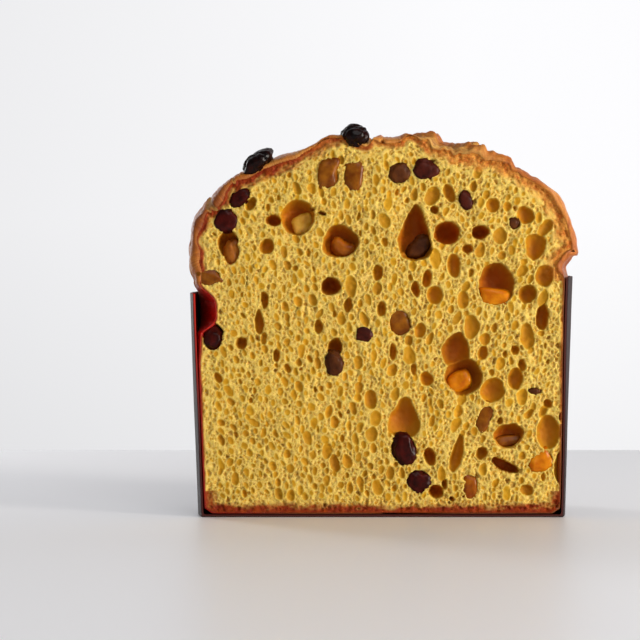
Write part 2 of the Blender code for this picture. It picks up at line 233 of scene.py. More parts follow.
def grid_faces(rows, columns):
    """The four corners of every face of a grid of points."""
    index = np.arange(rows * columns).reshape(rows, columns)
    return np.stack([index[:-1, :-1], index[:-1, 1:], index[1:, 1:], index[1:, :-1]], axis=-1).reshape(-1, 4)


def add_attribute(piece, name, values):
    """A value for each point, which the material reads."""
    layer = piece.data.attributes.new(name, "FLOAT", "POINT")
    layer.data.foreach_set("value", np.ascontiguousarray(values, dtype=np.float32))


crust = add_piece("crust", crust_points.reshape(-1, 3), grid_faces(*crust_points.shape[:2]))
add_attribute(crust, "torn", (torn_skin * above).ravel())
# The crease attribute marks the creases and the sunken parts of the relief, which the skin's material
# darkens as painted shade
add_attribute(crust, "crease", np.clip(creases + 0.5 * soft(0.2, 0.6, -relief / 3.0), 0.0, 1.0).ravel())
add_attribute(crust, "around", around.ravel())
add_attribute(crust, "down", drop.ravel())
add_attribute(crust, "under_paper", (1.0 - above).ravel())
# At the cut's left edge, under the paper, the skin gets a painted red glow for the light from behind that
# comes through the paper
left_gap = (1.0 - above) * soft(60.0, 75.0, -x) * (1.0 - soft(14.0, 32.0, y - CUT))
add_attribute(crust, "left_gap", left_gap.ravel())

# The skin's own thickness at the knife's cut, and a plain back behind the crumb
body = bmesh.new()
body.from_mesh(crust.data)
bmesh.ops.remove_doubles(body, verts=body.verts, dist=0.00002)
for inset, back in ((3.0, 3.0), (3.0, 30.0)):
    border = [edge for edge in body.edges if edge.is_boundary]
    grown = bmesh.ops.extrude_edge_only(body, edges=border)
    for vertex in [item for item in grown["geom"] if isinstance(item, bmesh.types.BMVert)]:
        middle = Vector((0.0, vertex.co.y, 0.088))
        way = (middle - vertex.co).normalized()
        vertex.co += way * inset * MM * 0.5
        vertex.co.y = (CUT + back) * MM
border = [edge for edge in body.edges if edge.is_boundary]
bmesh.ops.contextual_create(body, geom=border)
bmesh.ops.recalc_face_normals(body, faces=body.faces[:])
body.to_mesh(crust.data)
body.free()
crust.data.shade_smooth()


def linear(hex_code):
    """The linear colour, with alpha 1, of an sRGB hex code."""
    parts = [int(hex_code[at:at + 2], 16) / 255.0 for at in (1, 3, 5)]
    return [p / 12.92 if p <= 0.04045 else ((p + 0.055) / 1.055) ** 2.4 for p in parts] + [1.0]


def new_material(name):
    """A material and its shader."""
    material = bpy.data.materials.new(name)
    material.use_nodes = True
    return material, material.node_tree.nodes["Principled BSDF"]


def set_inputs(shader, settings):
    """Gives the shader's own inputs their constant values."""
    for name, value in settings.items():
        shader.inputs[name].default_value = value


def add_node(material, kind, settings=None, **links):
    """Adds a node with its properties or input values, a ramp's stops, and links from sockets."""
    tree = material.node_tree
    node = tree.nodes.new(kind)
    for key, value in (settings or {}).items():
        if key == "stops":
            elements = node.color_ramp.elements
            elements[0].position, elements[1].position = value[0][0], value[-1][0]
            for at, _ in value[1:-1]:
                elements.new(at)
            for element, (_, code) in zip(elements, value):
                element.color = linear(code)
        elif isinstance(key, int) or key in node.inputs:
            node.inputs[key].default_value = value
        else:
            setattr(node, key, value)
    for key, source in links.items():
        socket = node.inputs[int(key[1:])] if key[0] == "i" and key[1:].isdigit() else node.inputs[key]
        tree.links.new(source, socket)
    return node


# Baked egg-washed dough: satin orange-brown with fine wrinkles drawn down the dome, and fibrous,
# dry and paler where it tore. Its browning varies over 26 mm, its wrinkles lie 1.3 mm apart and
# its speckle is 2 mm, coarser than the real skin's so that it shows.
baked_skin, shader = new_material("baked egg-washed dough")
torn_value, crease_shade_value, under_value, gap_value, around_value, down_value = (
    add_node(baked_skin, "ShaderNodeAttribute", {"attribute_name": name}).outputs["Fac"]
    for name in ("torn", "crease", "under_paper", "left_gap", "around", "down")
)
short_down = add_node(baked_skin, "ShaderNodeMath", {"operation": "MULTIPLY", 1: 0.22}, i0=down_value)
flow = add_node(baked_skin, "ShaderNodeCombineXYZ", X=around_value, Y=short_down.outputs[0])
place = add_node(baked_skin, "ShaderNodeTexCoord").outputs["Object"]
wrinkles = add_node(baked_skin, "ShaderNodeTexNoise", {"Scale": 0.75, "Detail": 6.0, "Roughness": 0.68},
                    Vector=flow.outputs[0])
patches = add_node(baked_skin, "ShaderNodeTexNoise", {"Scale": 38.0, "Detail": 6.0, "Roughness": 0.62},
                   Vector=place)
speckle = add_node(baked_skin, "ShaderNodeTexNoise", {"Scale": 480.0, "Detail": 5.0, "Roughness": 0.72},
                   Vector=place)
tone = add_node(baked_skin, "ShaderNodeMix", {"data_type": "FLOAT", 0: 0.42},
                i2=patches.outputs["Fac"], i3=wrinkles.outputs["Fac"])
browns = ((0.36, "#8A3C0A"), (0.5, "#BC6A1C"), (0.64, "#DE9A44"))
skin_ramp = add_node(baked_skin, "ShaderNodeValToRGB", {"stops": browns}, Fac=tone.outputs[0])
torn_tone = add_node(baked_skin, "ShaderNodeMix", {"data_type": "FLOAT", 0: 0.5},
                     i2=speckle.outputs["Fac"], i3=wrinkles.outputs["Fac"])
torn_ramp = add_node(baked_skin, "ShaderNodeValToRGB", {"stops": ((0.38, "#BE7422"), (0.62, "#F2C468"))},
                     Fac=torn_tone.outputs[0])
torn_share = add_node(baked_skin, "ShaderNodeMapRange", {"To Max": 0.85}, Value=torn_value)
with_torn = add_node(baked_skin, "ShaderNodeMix", {"data_type": "RGBA"},
                     i0=torn_share.outputs[0], i6=skin_ramp.outputs["Color"], i7=torn_ramp.outputs["Color"])
# Painted shade: the skin is darkened in its creases and hollows
crease_shade_share = add_node(baked_skin, "ShaderNodeMath", {"operation": "MULTIPLY", 1: 0.6}, i0=crease_shade_value)
with_painted_crease_shade = add_node(baked_skin, "ShaderNodeMix", {"data_type": "RGBA", 7: linear("#4A1B08")},
                       i0=crease_shade_share.outputs[0], i6=with_torn.outputs[2])
# Below the rim the skin is darker brown: partly its own colour where it baked against the paper, partly
# painted shade between the dough and the paper
under_paper_tone_and_shade = add_node(baked_skin, "ShaderNodeMix", {"data_type": "RGBA", 7: linear("#8A4412")},
                   i0=under_value, i6=with_painted_crease_shade.outputs[2])
# Painted red glow where the loaf shrank from the paper at the left
painted_red_glow = add_node(baked_skin, "ShaderNodeMix", {"data_type": "RGBA", 7: linear("#C01C0C")},
                    i0=gap_value, i6=under_paper_tone_and_shade.outputs[2])
rough_mix = add_node(baked_skin, "ShaderNodeMapRange", {"To Min": 0.40, "To Max": 0.75}, Value=torn_value)
wrinkle_bump = add_node(baked_skin, "ShaderNodeBump", {"Strength": 0.7, "Distance": 0.0009},
                        Height=wrinkles.outputs["Fac"])
skin_bump = add_node(baked_skin, "ShaderNodeBump", {"Strength": 0.5, "Distance": 0.0006},
                     Height=speckle.outputs["Fac"], Normal=wrinkle_bump.outputs[0])
links = baked_skin.node_tree.links
links.new(painted_red_glow.outputs[2], shader.inputs["Base Color"])
links.new(rough_mix.outputs[0], shader.inputs["Roughness"])
links.new(skin_bump.outputs[0], shader.inputs["Normal"])
set_inputs(shader, {"Specular IOR Level": 0.35, "Subsurface Weight": 0.12,
                    "Subsurface Radius": (1.0, 0.45, 0.15), "Subsurface Scale": 0.002})
crust.data.materials.append(baked_skin)
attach(crust, "root")
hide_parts("loaf")

# ---------------------------------------------------------------------------------------------
# The raisins. Dried grapes, plump again from the dough's moisture: wrinkled, nearly black and
# glossy where whole, browner and duller where the knife or the dough has wiped them.

# Each fruit's width, height, depth, tilt in degrees, and kind
RAISINS = {
    "raisin_01": (10.5, 10.0, 9.0, 10, "dull"), "raisin_02": (11.6, 9.6, 9.0, -12, "purple"),
    "raisin_03": (11.8, 7.2, 9.0, 42, "dark"), "raisin_04": (10.2, 10.2, 9.0, 20, "dark"),
    "raisin_05": (8.2, 12.4, 8.0, -8, "amber"), "raisin_06": (6.6, 9.6, 7.0, 8, "purple"),
    "raisin_07": (11.6, 8.0, 8.0, 38, "dull"), "raisin_08": (6.0, 6.6, 6.0, 0, "dull"),
    "raisin_09": (9.0, 11.6, 8.0, 12, "dull"), "raisin_10": (9.0, 7.6, 8.0, -6, "purple"),
    "raisin_11": (10.0, 11.2, 9.0, 0, "dark"), "raisin_12": (12.0, 14.2, 10.0, 6, "dark"),
    "raisin_13": (10.6, 10.6, 9.0, 30, "dark"), "raisin_14": (7.4, 3.4, 6.0, -6, "dull"),
    "crust_raisin_1": (11.8, 10.0, 10.0, 0, "black"), "crust_raisin_2": (14.6, 8.0, 12.0, 37, "black"),
    "crust_raisin_3": (11.0, 8.4, 9.4, -24, "black"),
}
RAISIN_TINTS = {  # darkest and lightest colour, and roughness
    "black": ("#0A0302", "#240A06", 0.22), "dark": ("#240402", "#480D06", 0.28),
    "purple": ("#340C04", "#521C0E", 0.36), "dull": ("#3C1A06", "#5E300E", 0.42),
    "amber": ("#7A3A0C", "#A8641E", 0.32),
}

# Raisin skin: near-black brown with a wet, waxy shine, softened where it was cut or rubbed, and
# mottled every 4 mm
raisin_skins = {}
for kind, (low, high, rough) in RAISIN_TINTS.items():
    skin, shader = new_material(f"raisin skin, {kind}")
    place = add_node(skin, "ShaderNodeTexCoord").outputs["Object"]
    mottle = add_node(skin, "ShaderNodeTexNoise", {"Scale": 260.0, "Detail": 4.0}, Vector=place)
    tint = add_node(skin, "ShaderNodeValToRGB", {"stops": ((0.35, low), (0.7, high))},
                    Fac=mottle.outputs["Fac"])
    wrinkle = add_node(skin, "ShaderNodeBump", {"Strength": 0.4, "Distance": 0.0004},
                       Height=mottle.outputs["Fac"])
    skin.node_tree.links.new(tint.outputs["Color"], shader.inputs["Base Color"])
    skin.node_tree.links.new(wrinkle.outputs[0], shader.inputs["Normal"])
    set_inputs(shader, {"Roughness": rough, "Specular IOR Level": 0.13, "Subsurface Weight": 0.1,
                        "Subsurface Radius": (1.0, 0.3, 0.15), "Subsurface Scale": 0.0015})
    raisin_skins[kind] = skin


def ball_points(detail):
    """Points and faces of a fine ball of diameter 1."""
    body = bmesh.new()
    bmesh.ops.create_icosphere(body, subdivisions=detail, radius=0.5)
    points = np.array([vertex.co[:] for vertex in body.verts])
    faces = [tuple(vertex.index for vertex in face.verts) for face in body.faces]
    body.free()
    return points, faces


def placed(points, size, tilt, middle):
    """Points sized, tilted in the cut's plane and moved to their place."""
    x, y, z = (points * np.asarray(size)).T
    turn = math.radians(tilt)
    return np.stack([
        x * math.cos(turn) - z * math.sin(turn) + middle[0], y + middle[1],
        x * math.sin(turn) + z * math.cos(turn) + middle[2],
    ], axis=-1)


def fruit_place(name, depth):
    """A fruit's middle, and the y its front may reach, from its own box."""
    low, high = (np.array(corner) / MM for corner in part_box(name))
    middle = (low + high) / 2.0
    if not name.startswith("crust"):
        middle[1] = high[1] - depth * 0.5
    return middle, low[1]


ball, ball_faces = ball_points(4)
for number, (name, (width, height, depth, tilt, kind)) in enumerate(RAISINS.items()):
    middle, front = fruit_place(name, depth)
    bx, by, bz = ball.T * 10.0
    folds = 1.0 - np.abs(lumps(bx, by, bz / 1.7, 3.0, 40 + number))
    fine_folds = 1.0 - np.abs(lumps(bx, by, bz, 1.5, 60 + number))
    swell = 1.20 + 0.20 * lumps(bx, by, bz, 4.6, 80 + number)
    swell = swell - 0.20 * folds**6 - 0.12 * fine_folds**5
    points = placed(ball * swell[:, None], (width, depth, height), tilt, middle)
    if not name.startswith("crust"):
        # The knife flattened its front
        past = np.minimum(points[:, 1] - front - 0.4, 0.0)
        points[:, 1] = np.maximum(points[:, 1] - 0.75 * past, front)
    raisin = add_piece(name, points, ball_faces)
    raisin.data.materials.append(raisin_skins[kind])
    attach(raisin, "root")
    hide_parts(name)

# ---------------------------------------------------------------------------------------------
# The candied peel. Orange and citron peel boiled in syrup and diced: soft blocks with rounded
# edges, clear as jelly where the knife has passed.

PEELS = {
    "peel_01": (9.2, 14.0, 8.0, 4, "brown"), "peel_02": (9.0, 12.4, 8.0, -6, "brown"),
    "peel_03": (10.6, 8.2, 8.0, 12, "brown"), "peel_04": (9.6, 8.6, 7.0, 28, "citron"),
    "peel_05": (10.2, 7.6, 8.0, -24, "amber"), "peel_06": (13.4, 7.8, 8.0, -3, "orange"),
    "peel_07": (11.2, 8.8, 8.0, 24, "orange"), "peel_08": (10.4, 12.4, 7.0, 12, "brown"),
    "peel_09": (6.6, 13.0, 6.0, -32, "brown"), "peel_10": (12.4, 5.0, 6.0, 6, "brown"),
    "peel_11": (10.4, 8.8, 7.0, 36, "orange"), "peel_12": (6.8, 12.4, 6.0, -6, "amber"),
    "crust_peel_1": (11.0, 9.0, 9.4, 20, "orange"), "crust_peel_2": (12.0, 8.6, 10.2, -42, "orange"),
}
PEEL_TINTS = {  # darkest and lightest colour
    "orange": ("#B85E02", "#DC8A10"), "amber": ("#7E3806", "#A86010"),
    "citron": ("#B47E20", "#D6A848"), "brown": ("#6E3606", "#985C12"),
}

# Syrup-soaked peel: clear amber flesh that lets light deep in, under a gloss with shallow pits
# 4.5 mm apart
peel_flesh = {}
for kind, (low, high) in PEEL_TINTS.items():
    flesh, shader = new_material(f"candied peel in syrup, {kind}")
    place = add_node(flesh, "ShaderNodeTexCoord").outputs["Object"]
    mottle = add_node(flesh, "ShaderNodeTexNoise", {"Scale": 220.0, "Detail": 3.0}, Vector=place)
    tint = add_node(flesh, "ShaderNodeValToRGB", {"stops": ((0.35, low), (0.7, high))},
                    Fac=mottle.outputs["Fac"])
    pits = add_node(flesh, "ShaderNodeBump", {"Strength": 0.25, "Distance": 0.0004},
                    Height=mottle.outputs["Fac"])
    flesh.node_tree.links.new(tint.outputs["Color"], shader.inputs["Base Color"])
    flesh.node_tree.links.new(pits.outputs[0], shader.inputs["Normal"])
    set_inputs(shader, {"Roughness": 0.24, "Specular IOR Level": 0.14, "Subsurface Weight": 0.6,
                        "Subsurface Radius": (1.0, 0.45, 0.1), "Subsurface Scale": 0.004})
    peel_flesh[kind] = flesh

BLOCK_POWER = 4.0  # 2 leaves a ball, and more squares it up
for number, (name, (width, height, depth, tilt, kind)) in enumerate(PEELS.items()):
    middle, front = fruit_place(name, depth)
    # A ball pushed out towards a block with rounded edges
    norm = (np.abs(ball * 2.0) ** BLOCK_POWER).sum(axis=1) ** (1.0 / BLOCK_POWER)
    block = ball / norm[:, None]
    bx, by, bz = block.T * 10.0
    swell = 1.1 + 0.22 * lumps(bx, by, bz, 4.4, 90 + number) + 0.03 * lumps(bx, by, bz, 1.2, 95)
    block = block * swell[:, None]
    skew = 0.25 * math.sin(2.1 * number + 1.0)
    block[:, 0] = block[:, 0] + skew * block[:, 2]
    points = placed(block, (width, depth, height), tilt, middle)
    if not name.startswith("crust"):
        points[:, 1] = np.maximum(points[:, 1], front)
    peel = add_piece(name, points, ball_faces)
    peel.data.materials.append(peel_flesh[kind])
    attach(peel, "root")
    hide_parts(name)

# The fruit the knife has met: its size and where it lies in the cut
cut_fruit = {name: row for name, row in {**RAISINS, **PEELS}.items() if not name.startswith("crust")}
cut_places = {name: fruit_place(name, size[2])[0][[0, 2]] for name, size in cut_fruit.items()}

# ---------------------------------------------------------------------------------------------
# The crumb. An egg-rich dough full of gas: fine cells drawn upwards by the long rise, larger
# bubbles among them and hollows round the fruit. The knife opened them all, so each shows as a
# bowl with a thin rim, which the material paints pale as a highlight.

PITCH = 0.44
HALF_WIDTH = 92.0  # of the grid laid over the cut face
GRID_FOOT = 0.3
GRID_TOP = 178.0

# The large holes at the cut: x, z, width, height, depth, tilt in degrees, and taper to the top
HOLES = [
    (15.1, 130.0, 14.6, 27.0, 22.0, 0, 0.55), (29.7, 130.0, 11.4, 11.0, 22.0, 0, 0.0),
    (45.0, 130.0, 9.0, 7.4, 16.0, 0, 0.0), (39.0, 122.4, 6.0, 4.2, 8.0, 0, 0.0),
    (65.0, 138.0, 8.2, 8.8, 7.0, 20, 0.1), (50.4, 142.5, 6.6, 7.4, 6.0, -10, 0.0),
    (70.0, 123.4, 9.8, 12.2, 8.0, -8, -0.3), (74.3, 110.0, 9.0, 11.4, 9.0, -14, 0.0),
    (66.0, 101.7, 8.4, 8.8, 9.0, 0, 0.0), (32.6, 115.0, 7.2, 12.0, 8.0, 6, 0.0),
    (24.0, 101.6, 7.2, 9.4, 7.0, 6, 0.0), (15.3, 104.3, 4.4, 8.2, 9.0, 8, 0.0),
    (20.4, 109.0, 4.6, 8.6, 9.0, -8, 0.0), (-2.6, 111.7, 5.2, 8.2, 7.0, 4, 0.0),
    (-0.3, 95.0, 5.0, 7.8, 7.0, 0, 0.0), (-15.8, 96.5, 4.4, 7.4, 7.0, 0, 0.0),
    (-23.5, 105.5, 9.2, 8.8, 18.0, 0, 0.2), (-29.0, 87.0, 4.4, 7.4, 7.0, 0, 0.0),
    (-38.6, 136.8, 16.4, 16.2, 15.0, 0, 0.0), (-19.6, 126.3, 17.0, 15.6, 17.0, 8, 0.3),
    (-50.0, 135.4, 7.8, 5.6, 14.0, -10, 0.0), (-53.0, 124.0, 7.0, 7.2, 9.0, 0, 0.0),
    (-60.0, 143.0, 5.0, 7.4, 7.0, -32, 0.0), (-54.0, 99.0, 4.0, 9.8, 8.0, 4, 0.0),
    (-56.5, 89.0, 4.6, 12.2, 8.0, 2, 0.0), (-64.5, 79.0, 5.8, 5.9, 9.0, 0, 0.0),
    (-48.8, 74.0, 3.8, 7.0, 7.0, 0, 0.0), (4.8, 75.7, 4.0, 8.7, 7.0, 0, 0.0),
    (20.0, 63.0, 6.8, 7.4, 7.0, 0, 0.0), (52.2, 106.4, 16.6, 19.6, 17.0, 0, 0.1),
    (73.3, 91.4, 6.0, 12.8, 11.0, 0, 0.0), (33.6, 76.2, 13.0, 17.0, 14.0, -6, 0.2),
    (37.0, 64.2, 17.6, 17.4, 17.0, 0, 0.0), (61.0, 63.0, 7.5, 11.2, 8.0, 0, 0.0),
    (64.0, 69.5, 3.8, 7.0, 7.0, 0, 0.0), (61.0, 76.5, 4.6, 5.4, 7.0, 0, 0.0),
    (50.3, 58.0, 11.0, 12.4, 8.0, -20, 0.0), (57.6, 37.4, 14.4, 11.0, 14.0, 8, 0.0),
    (75.8, 51.6, 4.6, 4.6, 7.0, 0, 0.0), (53.5, 44.0, 3.2, 4.0, 6.0, 0, 0.0),
    (75.6, 38.8, 11.0, 16.2, 8.0, -6, 0.0), (45.3, 28.8, 5.5, 6.3, 8.0, 0, 0.0),
    (56.3, 23.0, 14.0, 5.4, 14.0, -25, 0.0), (34.2, 29.0, 6.0, 19.0, 8.0, -14, 0.2),
    (10.0, 45.5, 14.4, 20.0, 10.0, 0, 0.5), (21.8, 27.6, 6.2, 8.6, 11.0, 0, 0.0),
    (24.6, 11.6, 7.2, 7.0, 14.0, 0, 0.0), (28.7, 15.0, 3.2, 6.2, 8.0, 0, 0.0),
    (31.6, 8.4, 3.2, 2.9, 7.0, 0, 0.0), (66.0, 12.3, 6.4, 5.2, 5.0, 0, 0.0),
    (-33.0, 141.0, 4.6, 2.2, 9.0, -20, 0.0), (-27.5, 138.6, 4.4, 2.0, 9.0, -8, 0.0),
    (-33.7, 135.6, 2.6, 5.6, 9.0, 30, 0.0), (-70.4, 125.2, 9.8, 12.4, 16.0, 0, 0.0),
    (-21.4, 77.6, 7.0, 9.2, 13.0, 0, 0.0), (-77.6, 84.6, 10.6, 8.0, 16.0, 0, 0.0),
    (-85.6, 95.6, 15.0, 17.6, 18.0, 4, -0.2), (81.6, 46.0, 2.6, 5.0, 9.0, 0, 0.0),
    (82.0, 22.0, 7.0, 17.0, 8.0, 0, 0.0), (83.0, 4.0, 9.0, 7.0, 9.0, 0, 0.0),
    (10.0, 121.0, 4.0, 5.6, 8.0, 0, 0.0), (24.0, 140.6, 4.4, 4.0, 8.0, 0, 0.0),
]

xs = np.arange(-HALF_WIDTH, HALF_WIDTH, PITCH)
zs = np.arange(GRID_FOOT, GRID_TOP, PITCH)
flat_x, flat_z = np.meshgrid(xs, zs, indexing="ij")
random = np.random.default_rng(5)

# How far each place of the cut face lies inside the crust, and the way to the nearest crust
edge_loop = np.concatenate([crust_points[::-1, 0], crust_points[:, -1]])[:, (0, 2)]
ends = np.roll(edge_loop, -1, axis=0)


def section_distance(px, pz):
    """Distance inside the cut's outline, negative outside."""
    best = np.full(px.shape, 1e9)
    inside = np.zeros(px.shape, bool)
    for (ax, az), (bx, bz) in zip(edge_loop, ends):
        length = max((bx - ax) ** 2 + (bz - az) ** 2, 1e-9)
        along = np.clip(((px - ax) * (bx - ax) + (pz - az) * (bz - az)) / length, 0.0, 1.0)
        gap = (px - ax - along * (bx - ax)) ** 2 + (pz - az - along * (bz - az)) ** 2
        best = np.minimum(best, gap)
        if az != bz:
            crosses = (az > pz) != (bz > pz)
            inside ^= crosses & (px < (bx - ax) * (pz - az) / (bz - az) + ax)
    return np.where(inside, 1.0, -1.0) * np.sqrt(best)


inward = section_distance(flat_x, flat_z)
slope_x, slope_z = np.gradient(inward, PITCH)


def field_at(field, x, z):
    """A value of the cut face's grid at any place."""
    i = np.clip(((x + HALF_WIDTH) / PITCH).astype(int), 0, len(xs) - 1)
    k = np.clip(((z - GRID_FOOT) / PITCH).astype(int), 0, len(zs) - 1)
    return field[i, k]


# Every cell: x, z, half width, height over width, depth, tilt in degrees, taper to the top
cells = [(x, z, w / 2.0, h / w, 0.62 * depth, tilt, taper) for x, z, w, h, depth, tilt, taper in HOLES]
taken = [(x, z, max(r, r * tall)) for x, z, r, tall, _, _, _ in cells]
taken += [(*cut_places[name], 0.5 * max(size[:2])) for name, size in cut_fruit.items()]
for _ in range(9000):
    x, z = random.uniform(-88.0, 88.0), random.uniform(3.0, 172.0)
    side = float(soft(-60.0, 25.0, x))
    radius = 1.1 + (0.8 + 2.0 * side) * random.random() ** 1.7
    if field_at(inward, np.array(x), np.array(z)) < 4.5 + 1.5 * radius:
        continue
    near = np.asarray(taken)
    if (np.hypot(near[:, 0] - x, near[:, 1] - z) < 0.2 + 0.84 * (near[:, 2] + radius * 1.4)).any():
        continue
    taken.append((x, z, radius * 1.3))
    lean = -25.0 * x / 90.0 + random.normal(0.0, 12.0)
    deep = random.uniform(0.3, 0.85) * radius * (2.2 if random.random() < 0.12 else 1.0)
    cells.append((x, z, radius, random.uniform(1.2, 1.9), deep, lean, random.uniform(-0.15, 0.2)))
big = np.asarray(cells)

# The fine cells, on a shaken lattice that skips the bubbles
gx, gz = np.meshgrid(np.arange(-1.0, 1.0, 0.0185), np.arange(GRID_FOOT, GRID_TOP, 2.1))
gx, gz = gx.ravel(), gz.ravel()
gx = HALF_WIDTH * (gx - 0.10 * (1.0 - gx**2))
gx = gx + random.uniform(-0.9, 0.9, gx.shape)
gz = gz + random.uniform(-1.15, 1.15, gz.shape)


def stretched(x, z, cell):
    """Distance from a cell's middle, where 1 is the cell's own edge."""
    cx, cz, radius, tall, _, tilt, taper = cell
    turn = math.radians(tilt)
    across = (x - cx) * math.cos(turn) + (z - cz) * math.sin(turn)
    up = (z - cz) * math.cos(turn) - (x - cx) * math.sin(turn)
    narrow = 1.0 - taper * np.clip(up / (radius * tall), -1.0, 1.0)
    return np.sqrt((across / narrow) ** 2 + (up / tall) ** 2) / radius


free = field_at(inward, gx, gz) > 0.7
for cell in big:
    near = np.flatnonzero(np.hypot(gx - cell[0], gz - cell[1]) < cell[2] * max(1.0, cell[3]) + 1.0)
    free[near[stretched(gx[near], gz[near], cell) < 0.97]] = False
gx, gz = gx[free], gz[free]
border = field_at(inward, gx, gz)
dense = 5.0 + 4.0 * soft(10.0, 40.0, gx) + 1.5 * lumps(gx, 0.0, gz, 9.0, 7)
dense = np.where(gz > 112.0, dense, 2.2)
crust_lean = np.degrees(np.arctan2(field_at(slope_z, gx, gz), field_at(slope_x, gx, gz)))
lean = np.where(border < dense + 2.0, crust_lean, -26.0 * gx / 90.0 + random.normal(0.0, 16.0, gx.shape))
size = random.uniform(0.7, 1.35, gx.shape) * np.where(border < dense, 0.55, 1.0)
tall = random.uniform(1.1, 1.8, gx.shape) * np.where(border < dense, 1.3, 1.0)
deep = random.uniform(0.3, 0.9, gx.shape) + 0.4 * soft(-50.0, 30.0, gx) * random.random(gx.shape)
deep = deep + 1.5 * (random.random(gx.shape) < 0.04)
some = (border > dense) | (random.random(gx.shape) < 0.55)
fine = np.stack([gx, gz, size, tall, deep, lean, np.zeros(gx.shape)], axis=1)[some]

# Nearest and second nearest fine cell of every place, seen through a little waviness
first = np.full(flat_x.shape, 9.0)
second = first.copy()
owner = np.zeros(first.shape, int)
other = owner.copy()
wave_x = flat_x + 0.22 * lumps(flat_x, 0.0, flat_z, 1.3, 21) + 0.55 * lumps(flat_x, 0.0, flat_z, 3.4, 22)
wave_z = flat_z + 0.22 * lumps(flat_x, 9.0, flat_z, 1.3, 23) + 0.55 * lumps(flat_x, 9.0, flat_z, 3.4, 24)
wave_x = wave_x + 0.7 * lumps(flat_x, 4.0, flat_z, 8.0, 36)
wave_z = wave_z + 0.7 * lumps(flat_x, 4.0, flat_z, 8.0, 37)


def window(cell, spread):
    """The part of the grid a cell can reach."""
    reach = spread * cell[2] * max(1.0, cell[3]) * (1.0 + abs(cell[6])) + 1.2
    i0, i1 = (int(np.clip((cell[0] + way * reach + HALF_WIDTH) / PITCH, 0, len(xs))) for way in (-1, 1))
    k0, k1 = (int(np.clip((cell[1] + way * reach - GRID_FOOT) / PITCH, 0, len(zs))) for way in (-1, 1))
    return slice(i0, i1 + 1), slice(k0, k1 + 1)


for number, cell in enumerate(fine):
    part = window(cell, 1.7)
    away = stretched(wave_x[part], wave_z[part], cell)
    a, b, own, oth = first[part], second[part], owner[part], other[part]
    wins = away < a
    mid = (away < b) & ~wins
    oth[...] = np.where(wins, own, np.where(mid, number, oth))
    b[...] = np.where(wins, a, np.where(mid, away, b))
    own[...] = np.where(wins, number, own)
    a[...] = np.where(wins, away, a)
own_size = fine[owner, 2]
to_rim = (second - first) / (1.0 / own_size + 1.0 / fine[other, 2])
to_rim = np.minimum(to_rim, (1.35 - first) * own_size)
half = own_size * np.minimum(1.0, fine[owner, 3])
rim_width = 0.13 + 0.09 * lumps(flat_x, 3.0, flat_z, 3.0, 25)
cell_deep = fine[owner, 4]
cell_shade = random.random(len(fine))[owner]
drawn = 0.5 * lumps(flat_x, 0.0, 0.3 * flat_z, 6.5, 41) + 0.3 * lumps(flat_x, 0.0, 0.6 * flat_z, 17.0, 42)

# The larger bubbles pushed the fine cells aside and have smooth, round mouths
mouth = np.full(flat_x.shape, -9.0)
for number, cell in enumerate(big):
    part = window(cell, 1.3)
    margin = (1.0 - stretched(wave_x[part], wave_z[part], cell)) * cell[2]
    wins = (margin > 0.0) & (margin > mouth[part])
    near = (margin <= 0.0) & (mouth[part] <= 0.0)
    to_rim[part] = np.where(wins, margin, np.where(near, np.minimum(to_rim[part], -margin), to_rim[part]))
    half[part] = np.where(wins, cell[2] * min(1.0, cell[3]), half[part])
    cell_deep[part] = np.where(wins, cell[4], cell_deep[part])
    cell_shade[part] = np.where(wins, 0.35 + 0.3 * math.sin(7.0 * number), cell_shade[part])
    rim_width[part] = np.where(wins, 0.12, rim_width[part])
    mouth[part] = np.maximum(mouth[part], margin)
share = np.clip((to_rim - rim_width) / half, 0.0, 1.0)
bowl = cell_deep * np.sqrt(1.0 - (1.0 - share) ** 2)

# The pockets the fruit sits in
for name, (width, height, depth, tilt, _) in cut_fruit.items():
    x, z = cut_places[name]
    away = stretched(wave_x, wave_z, (x, z, width / 2.0 - 0.5, height / width, 0.0, tilt, 0.0))
    pocket = np.clip(1.0 - away, 0.0, 1.0) ** 0.4 * 6.0
    bowl = np.where(away < 1.0, np.maximum(bowl, pocket), bowl)
    to_rim = np.where(away < 1.0, 5.0, np.minimum(to_rim, (away - 1.0) * width / 2.0))

# The knife's drag, and the crust's rounded, flaky edge
flake = lumps(flat_x, inward * 2.4, flat_z, 5.0, 26) + 0.6 * lumps(flat_x, inward * 3.0, flat_z, 2.2, 27)
band = 2.6 + 3.6 * soft(-78.0, -55.0, flat_x) * (1.0 - soft(-28.0, -14.0, flat_x))
band = band + 4.6 * soft(8.0, 30.0, flat_x)
band = band + (1.0 + 0.5 * soft(8.0, 30.0, flat_x)) * lumps(flat_x, 0.0, flat_z, 8.0, 7)
band = np.where(flat_z > 108.0, band, 1.4)
band = np.where(flat_z < 12.0, 5.6 + 0.8 * lumps(flat_x, 0.0, 0.0, 6.0, 28), band)
toast = 1.0 - soft(0.3, 1.05, inward / band + 0.26 * flake)
high = soft(108.0, 118.0, flat_z)
drag = 0.35 * lumps(flat_x, 0.0, flat_z, 1.6, 29) + 0.7 * lumps(flat_x, 5.0, flat_z, 9.0, 4)
strands = np.abs(lumps(flat_x, 0.0, 0.7 * flat_z, 2.0, 38))
strands = strands + 0.5 * np.abs(lumps(flat_x, 0.0, flat_z, 1.1, 39))
drag = drag + 0.75 * strands * (mouth <= 0.0)
crisp = 0.45 * lumps(flat_x, 2.0 * inward, flat_z, 1.4, 34) + 0.3 * lumps(flat_x, inward, flat_z, 0.9, 35)
edge_roll = high * toast * (0.5 + 0.75 * flake + crisp)
at_edge = soft(0.0, 1.6, inward)
bowl = bowl * (1.0 - 0.8 * toast * high) * soft(0.0, 1.0, inward)
depth = np.clip(0.3 + at_edge * (0.1 + drag + edge_roll) + bowl, 0.0, 26.0)

inside = inward > 0.05
number = np.full(flat_x.shape, -1)


